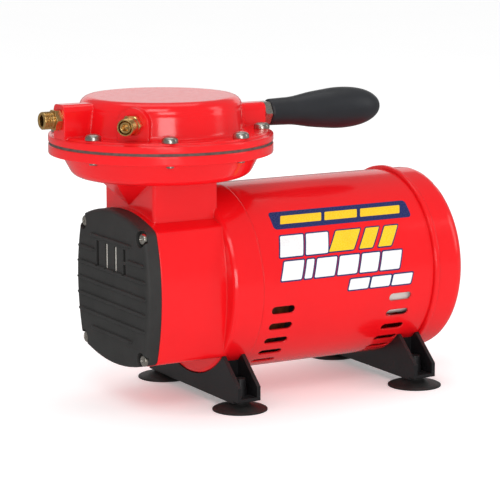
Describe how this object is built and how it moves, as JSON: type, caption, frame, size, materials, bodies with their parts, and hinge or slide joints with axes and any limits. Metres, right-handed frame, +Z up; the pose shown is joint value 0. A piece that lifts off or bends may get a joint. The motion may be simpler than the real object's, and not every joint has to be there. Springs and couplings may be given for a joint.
{
  "type": "diaphragm air compressor",
  "caption": "Small direct-drive diaphragm air compressor: round red motor on black legs with suction feet, diaphragm head on top, brass outlet and grip handle.",
  "frame": {"origin": "centre of the whole object's footprint, on the floor under the suction cups", "axes": "+X along the motor from the crankcase cover to the rear cap, +Y to the left seen from the cover, +Z up"},
  "size_m": [0.3292, 0.1692, 0.233],
  "materials": {
    "red_paint": "gloss",
    "black_rubber": "matte",
    "aluminium": "satin",
    "zinc_steel": "satin",
    "spring_steel": "satin",
    "bare_steel": "satin",
    "brass": "satin",
    "grip_plastic": "matte",
    "cover_plastic": "matte",
    "leg_plastic": "satin",
    "felt": "matte",
    "lamination_steel": "satin",
    "copper": "satin",
    "white_plastic": "satin"
  },
  "bodies": {
    "housing": {"crankcase": "red_paint", "cylinder_head": "red_paint", "motor_tube": "red_paint", "rear_cap": "red_paint", "diaphragm": "black_rubber", "valve_plate": "aluminium", "valve_plate_screws": "zinc_steel", "outlet_reed_keeper": "bare_steel", "outlet_reed_screws": "zinc_steel", "outlet_fitting": "brass", "relief_valve_body": "brass", "relief_spring": "spring_steel", "relief_adjusting_screw": "brass", "head_screws": "zinc_steel", "handle_stud": "zinc_steel", "handle_nut": "zinc_steel", "handle_grip": "grip_plastic", "front_cover": "cover_plastic", "cover_screws": "zinc_steel", "intake_filter": "felt", "tie_bolts": "zinc_steel", "stator_core": "lamination_steel", "stator_windings": "copper", "capacitor": "white_plastic", "capacitor_clip": "bare_steel", "switch_housing": "leg_plastic", "cable_inlet_bush": "black_rubber", "leg_screws": "zinc_steel", "front_leg": "leg_plastic", "rear_leg": "leg_plastic", "front_bearing_outer_ring": "bare_steel", "front_bearing_balls": "bare_steel", "rear_bearing_outer_ring": "bare_steel", "rear_bearing_balls": "bare_steel", "suction_cup_front_right": "black_rubber", "suction_cup_front_left": "black_rubber", "suction_cup_rear_right": "black_rubber", "suction_cup_rear_left": "black_rubber"},
    "rotor": {"motor_shaft": "bare_steel", "rotor_core": "lamination_steel", "rotor_cage": "aluminium", "cooling_fan": "white_plastic", "eccentric": "bare_steel", "eccentric_set_screw": "bare_steel", "rod_bearing_circlip": "spring_steel", "front_bearing_inner_ring": "bare_steel", "rear_bearing_inner_ring": "bare_steel", "rod_bearing_inner_ring": "bare_steel"},
    "rod": {"connecting_rod": "aluminium", "rod_bearing_outer_ring": "bare_steel", "rod_bearing_balls": "bare_steel", "lower_piston_plate": "aluminium", "upper_piston_plate": "aluminium", "piston_screw": "zinc_steel", "intake_reed_keeper": "bare_steel", "intake_reed_screws": "zinc_steel"},
    "intake_reed": {"intake_reed": "spring_steel"},
    "outlet_reed": {"outlet_reed": "spring_steel"},
    "relief_ball": {"relief_ball": "bare_steel"},
    "rocker": {"rocker_button": "leg_plastic"}
  },
  "joints": [
    {"name": "rotor_spin", "type": "hinge", "parent": "housing", "child": "rotor", "pos_m": [-0.06625, 0, 0.0905], "axis": [1, 0, 0], "continuous": true},
    {"name": "rod_orbit", "type": "hinge", "parent": "rotor", "child": "rod", "pos_m": [-0.06625, 0, 0.0865], "axis": [1, 0, 0], "continuous": true, "deforming": ["diaphragm"]},
    {"name": "intake_reed_lift", "type": "hinge", "parent": "rod", "child": "intake_reed", "pos_m": [-0.05275, 0, 0.1971], "axis": [0, -1, 0], "range_deg": [0, 4], "stiffness_Nm_per_rad": 0.005, "springref_deg": -2.86},
    {"name": "outlet_reed_lift", "type": "hinge", "parent": "housing", "child": "outlet_reed", "pos_m": [-0.07225, 0, 0.2137], "axis": [0, 1, 0], "range_deg": [0, 5], "stiffness_Nm_per_rad": 0.005, "springref_deg": -2.86},
    {"name": "relief_ball_lift", "type": "slide", "parent": "housing", "child": "relief_ball", "axis": [-0.7071, -0.7071, 0], "range_m": [0, 0.001], "stiffness_N_per_m": 200, "springref_m": -0.006, "deforming": ["relief_spring"]},
    {"name": "rocker_tilt", "type": "hinge", "parent": "housing", "child": "rocker", "pos_m": [0.15975, 0, 0.1285], "axis": [0, 0, 1], "range_deg": [0, 14]}
  ],
  "couplings": [
    {"joint": "rod_orbit", "follows": "rotor_spin", "ratio": -1}
  ]
}
